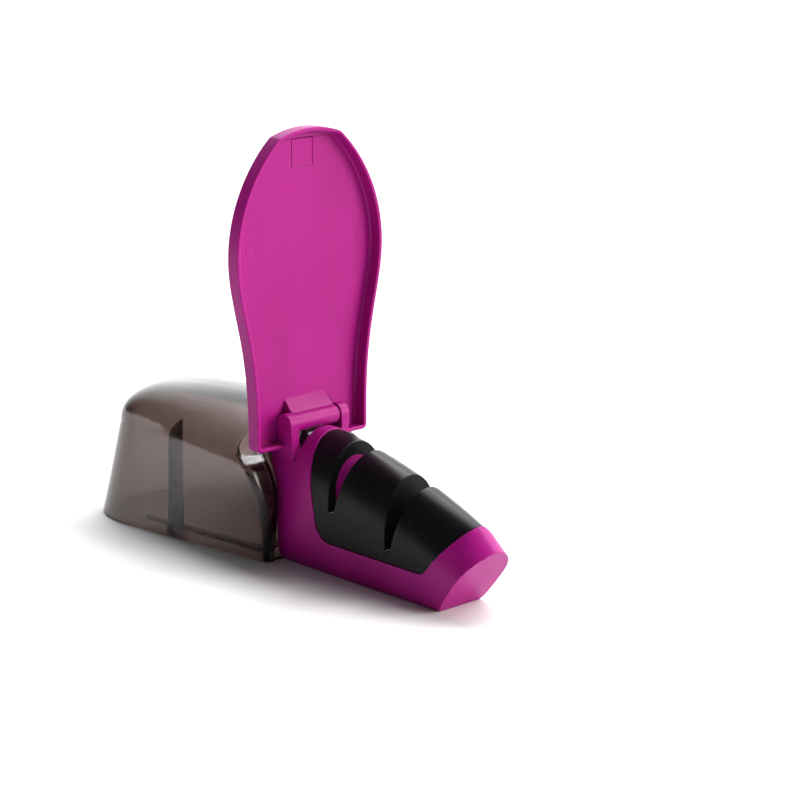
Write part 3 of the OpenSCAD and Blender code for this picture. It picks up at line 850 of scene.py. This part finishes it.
def make_guard(material):
    back, rim = HINGE_X - GUARD_D, HINGE_X
    floor_x = back + GUARD_T
    guard = skin("guard", guard_rings(back, rim))
    notch, spring_hw, low = EAR_OUT + EAR_GAP + 0.1, 5.2, TAIL_Z - 1
    mark_hw, mark_d, mark_z = 5.3, 0.12, (155.5, 166.3)     # faint rectangle near the tip
    cut(guard, block((floor_x - 0.1, -notch, low), (rim + 1, notch, TAIL_Z + 2)))
    cut(guard, block((back - 1, -notch, low), (rim - 1, notch, TAIL_Z + 0.8)))
    cut(guard, block((back - 1, -spring_hw, low), (rim - 1, spring_hw, KNUCKLE_Z + 0.2)))
    cut(guard, block((floor_x - mark_d, -mark_hw, mark_z[0]), (floor_x + 2, mark_hw, mark_z[1])))
    join(guard, knuckle_ramp(back, floor_x), rod("y", (HINGE_X, HINGE_Z), -EAR_IN, EAR_IN, KNUCKLE_R, 56))
    for side in SIDES:
        inner, outer = sorted((side * KNUCKLE_HW, side * (EAR_OUT + EAR_GAP)))
        cut(guard, block((floor_x + 0.05, inner, low), (rim + 5, outer, HINGE_Z + EAR_R + EAR_GAP)))
    cut(guard, rod("y", (HINGE_X, HINGE_Z), -EAR_IN - 1, EAR_IN + 1, PIN_R + 0.06))
    soften(guard, 0.28, angle=32)
    for y, z in ((-26, 126), (30, 124), (25, 150)):
        ring_mark(guard, floor_x, y, z, radius=2.6, start=0, turn=360)
    for side in SIDES:
        ring_mark(guard, floor_x, side * 21, 52.6, radius=4.4, start=270 if side > 0 else 180, turn=90)
    finish_piece(guard, "guard", "magenta_plastic", material, "lid")


def knuckle_ramp(back, floor_x):
    """Block that joins the knuckle to the tray's floor; it narrows a little towards its head."""
    under, head = back + 0.3, HINGE_Z + 8.5
    outline = [(under, KNUCKLE_Z), (HINGE_X, KNUCKLE_Z), (HINGE_X, HINGE_Z + 3.6)]
    outline += [(floor_x, head), (under, head)]
    ramp = prism(outline, "y", -EAR_IN, EAR_IN)
    for vertex in ramp.data.vertices:
        vertex.co.y *= 0.94 if vertex.co.z > (HINGE_Z + 8) * MM else 1
    return ramp


def ring_mark(guard, floor_x, y, z, radius, start, turn):
    """Faint raised ring that an ejector pin leaves on the floor of the tray."""
    steps, proud, half_width, root = 32, 0.1, 0.22, -0.05
    side = [(root, -half_width), (proud * 0.8, -half_width * 0.6)]
    profile = side + [(proud, 0)] + [(out, -off) for out, off in reversed(side)]
    bm = bmesh.new()
    bm.from_mesh(guard.data)
    rows = []
    closed = turn >= 360
    for i in range(steps if closed else steps + 1):
        a = math.radians(start + turn * i / steps)
        row = []
        for out, off in profile:
            r = radius + off
            row.append(bm.verts.new(Vector((floor_x + out, y + r * math.cos(a), z + r * math.sin(a))) * MM))
        rows.append(row)
    pairs = list(zip(rows, rows[1:] + rows[:1])) if closed else list(zip(rows, rows[1:]))
    made = []
    for a, b in pairs:
        for j in range(len(profile)):
            k = (j + 1) % len(profile)
            made.append(bm.faces.new((a[j], a[k], b[k], b[j])))
    if not closed:
        made += [bm.faces.new(rows[0]), bm.faces.new(rows[-1])]
    bmesh.ops.recalc_face_normals(bm, faces=made)
    for face in made:
        face.smooth = True
    bm.to_mesh(guard.data)
    bm.free()


# ---- materials ----
def new_material(name, **values):
    """Material whose shader sockets take the given values; an underscore stands for a space."""
    material = bpy.data.materials.new(name)
    material.use_nodes = True
    shader = material.node_tree.nodes["Principled BSDF"]
    for socket, value in values.items():
        shader.inputs[socket.replace("_", " ")].default_value = value
    return material, material.node_tree, shader


def noise(tree, scale, detail=3.0, stretch=(1, 1, 1)):
    """Noise in the part's own frame; scale is waves per metre."""
    place_node = tree.nodes.new("ShaderNodeTexCoord")
    mapping = tree.nodes.new("ShaderNodeMapping")
    mapping.inputs["Scale"].default_value = stretch
    texture = tree.nodes.new("ShaderNodeTexNoise")
    texture.inputs["Scale"].default_value = scale
    texture.inputs["Detail"].default_value = detail
    tree.links.new(place_node.outputs["Object"], mapping.inputs["Vector"])
    tree.links.new(mapping.outputs["Vector"], texture.inputs["Vector"])
    return texture.outputs["Fac"]


def ramp_colour(tree, fac, dark, light):
    """Colour that flows from dark to light as fac passes its middle."""
    ramp = tree.nodes.new("ShaderNodeValToRGB")
    for element, position, colour in zip(ramp.color_ramp.elements, (0.35, 0.65), (dark, light)):
        element.position = position
        element.color = (*colour, 1)
    tree.links.new(fac, ramp.inputs["Fac"])
    return ramp.outputs["Color"]


def spread_value(tree, fac, low, high):
    """Value from low to high as fac goes from 0.3 to 0.7, where most of a noise lies."""
    node = tree.nodes.new("ShaderNodeMapRange")
    for socket, value in (("From Min", 0.3), ("From Max", 0.7), ("To Min", low), ("To Max", high)):
        node.inputs[socket].default_value = value
    tree.links.new(fac, node.inputs["Value"])
    return node.outputs["Result"]


def add_bump(tree, shader, fac, strength, distance):
    bump = tree.nodes.new("ShaderNodeBump")
    bump.inputs["Strength"].default_value = strength
    bump.inputs["Distance"].default_value = distance * MM
    tree.links.new(fac, bump.inputs["Height"])
    tree.links.new(bump.outputs["Normal"], shader.inputs["Normal"])


def plastic(name, dark, light, rough, grain, bump=0.12, **values):
    """Moulded plastic: slow flow of colour, patchy gloss and a fine grain."""
    material, tree, shader = new_material(name, **values)
    flow = noise(tree, 38, 3, (1, 1, 0.35))
    tree.links.new(ramp_colour(tree, flow, dark, light), shader.inputs["Base Color"])
    tree.links.new(spread_value(tree, noise(tree, 90, 5), *rough), shader.inputs["Roughness"])
    add_bump(tree, shader, noise(tree, grain, 2), bump, 0.05)
    return material


def smoke(name):
    """Tinted clear plastic, which darkens with the length of plastic that is looked through."""
    material, tree, shader = new_material(
        name, Transmission_Weight=1.0, IOR=1.46, Base_Color=(0.93, 0.92, 0.91, 1)
    )
    tree.links.new(spread_value(tree, noise(tree, 60, 4), 0.1, 0.2), shader.inputs["Roughness"])
    add_bump(tree, shader, noise(tree, 1400, 2), 0.05, 0.03)
    tint = tree.nodes.new("ShaderNodeVolumeAbsorption")
    tint.inputs["Color"].default_value = (0.46, 0.37, 0.34, 1)
    tint.inputs["Density"].default_value = 850
    tree.links.new(tint.outputs["Volume"], tree.nodes["Material Output"].inputs["Volume"])
    return material


def metal(name, dark, light, rough, stretch):
    """Metal with fine marks, drawn out along the axis that has the smallest stretch."""
    material, tree, shader = new_material(name, Metallic=1.0)
    marks = noise(tree, 900, 4, stretch)
    tree.links.new(ramp_colour(tree, marks, dark, light), shader.inputs["Base Color"])
    tree.links.new(spread_value(tree, marks, *rough), shader.inputs["Roughness"])
    add_bump(tree, shader, marks, 0.1, 0.02)
    return material


def make_materials():
    magenta = plastic(
        "magenta", dark=(0.27, 0.0045, 0.15), light=(0.31, 0.006, 0.175), rough=(0.34, 0.44), grain=4200,
        IOR=1.5, Specular_IOR_Level=0.16, Specular_Tint=(1.0, 0.75, 0.8, 1),
    )
    black = plastic(
        "black", dark=(0.0035, 0.0033, 0.004), light=(0.006, 0.0055, 0.0065), rough=(0.24, 0.34), grain=5200,
        bump=0.05, IOR=1.5, Specular_IOR_Level=0.12,
    )
    steel = metal(
        "steel", dark=(0.5, 0.5, 0.52), light=(0.68, 0.68, 0.7), rough=(0.22, 0.38), stretch=(1, 0.1, 1)
    )
    carbide = metal(
        "carbide", dark=(0.16, 0.16, 0.17), light=(0.26, 0.26, 0.28), rough=(0.35, 0.5), stretch=(1, 1, 0.15)
    )
    ceramic = plastic(
        "ceramic", dark=(0.78, 0.76, 0.7), light=(0.86, 0.84, 0.79), rough=(0.45, 0.6), grain=6000, IOR=1.6
    )
    rubber = plastic(
        "rubber", dark=(0.014, 0.014, 0.014), light=(0.024, 0.024, 0.024), rough=(0.7, 0.85), grain=3000,
        IOR=1.45,
    )
    return magenta, black, smoke("smoke"), steel, carbide, ceramic, rubber


# ---- stage, light, camera ----
def make_stage():
    """Wide pale floor, just under the part so that the two faces don't fight."""
    material, tree, shader = new_material("floor", Roughness=0.9, Specular_IOR_Level=0.1)
    tint = ramp_colour(tree, noise(tree, 1.5, 2), (0.75, 0.745, 0.74), (0.77, 0.765, 0.76))
    tree.links.new(tint, shader.inputs["Base Color"])
    half, drop = 9000, 0.02
    corners = ((-half, -half), (half, -half), (half, half), (-half, half))
    floor = new_piece("floor", [(x, y, -drop) for x, y in corners], [(0, 1, 2, 3)])
    floor.data.materials.append(material)
    bpy.context.scene.view_settings.view_transform = "Standard"


def make_world():
    """Pale studio: bright behind the object on its far side, dim on the near side."""
    world = bpy.data.worlds.new("studio")
    world.use_nodes = True
    tree = world.node_tree
    direction = tree.nodes.new("ShaderNodeTexCoord")
    facing = tree.nodes.new("ShaderNodeVectorMath")
    facing.operation = "DOT_PRODUCT"
    facing.inputs[1].default_value = Vector((-0.42, 0.85, 0.32)).normalized()
    level = tree.nodes.new("ShaderNodeMapRange")
    level.interpolation_type = "SMOOTHSTEP"
    for socket, value in (("From Min", 0.15), ("From Max", 0.95), ("To Min", 0.07), ("To Max", 2.2)):
        level.inputs[socket].default_value = value
    tree.links.new(direction.outputs["Generated"], facing.inputs[0])
    tree.links.new(facing.outputs["Value"], level.inputs["Value"])
    backdrop = tree.nodes["Background"]
    backdrop.inputs["Color"].default_value = (0.95, 0.965, 1.0, 1)
    tree.links.new(level.outputs["Result"], backdrop.inputs["Strength"])
    bpy.context.scene.world = world


def lamp(name, direction, angle, strength, colour):
    """Soft distant lamp that shines from a direction; angle is its width in degrees."""
    data = bpy.data.lights.new(name, "SUN")
    data.angle = math.radians(angle)
    data.energy = strength
    data.color = colour
    obj = bpy.data.objects.new(name, data)
    obj.rotation_euler = Vector(direction).to_track_quat("Z", "Y").to_euler()
    bpy.context.scene.collection.objects.link(obj)


def make_lights():
    lamp("key", (0.78, 0.55, 0.3), 40, 3.7, (1.0, 0.95, 0.88))
    lamp("top", (-0.3, 0.42, 0.85), 44, 3.1, (0.97, 0.97, 1.0))
    lamp("edge", (0.2, 0.62, 0.72), 30, 1.5, (1.0, 1.0, 1.0))
    lamp("front", (0.75, -0.6, 0.3), 20, 0.12, (1.0, 1.0, 1.0))


def make_camera():
    """Long lens at the photograph's angle; the aim is set from the nose's foot, in metres."""
    azimuth, elevation, depth = math.radians(47.4), math.radians(15), 0.938
    flat = math.cos(elevation)
    back = Vector((math.sin(azimuth) * flat, -math.cos(azimuth) * flat, math.sin(elevation)))
    right = Vector((math.cos(azimuth), math.sin(azimuth), 0))
    up = back.cross(right)
    toe = Vector((TOE_X * MM, 0, 0))
    data = bpy.data.cameras.new("camera")
    data.lens, data.sensor_width = 112.5, 36
    camera = bpy.data.objects.new("camera", data)
    camera.location = toe - 0.0225 * right + 0.0771 * up + depth * back
    camera.rotation_euler = (math.radians(75), 0, azimuth)
    bpy.context.scene.collection.objects.link(camera)
    bpy.context.scene.camera = camera


magenta, black, clear, steel, carbide, ceramic, rubber = make_materials()
make_camera()
make_stage()
make_world()
make_lights()
make_body(magenta)
make_insert(black)
make_carrier(magenta)
make_edges(carbide, ceramic, steel)
make_screws(steel)
make_pin(steel)
make_spring(carbide)
make_base(black, rubber)
make_handle(clear)
make_guard(magenta)
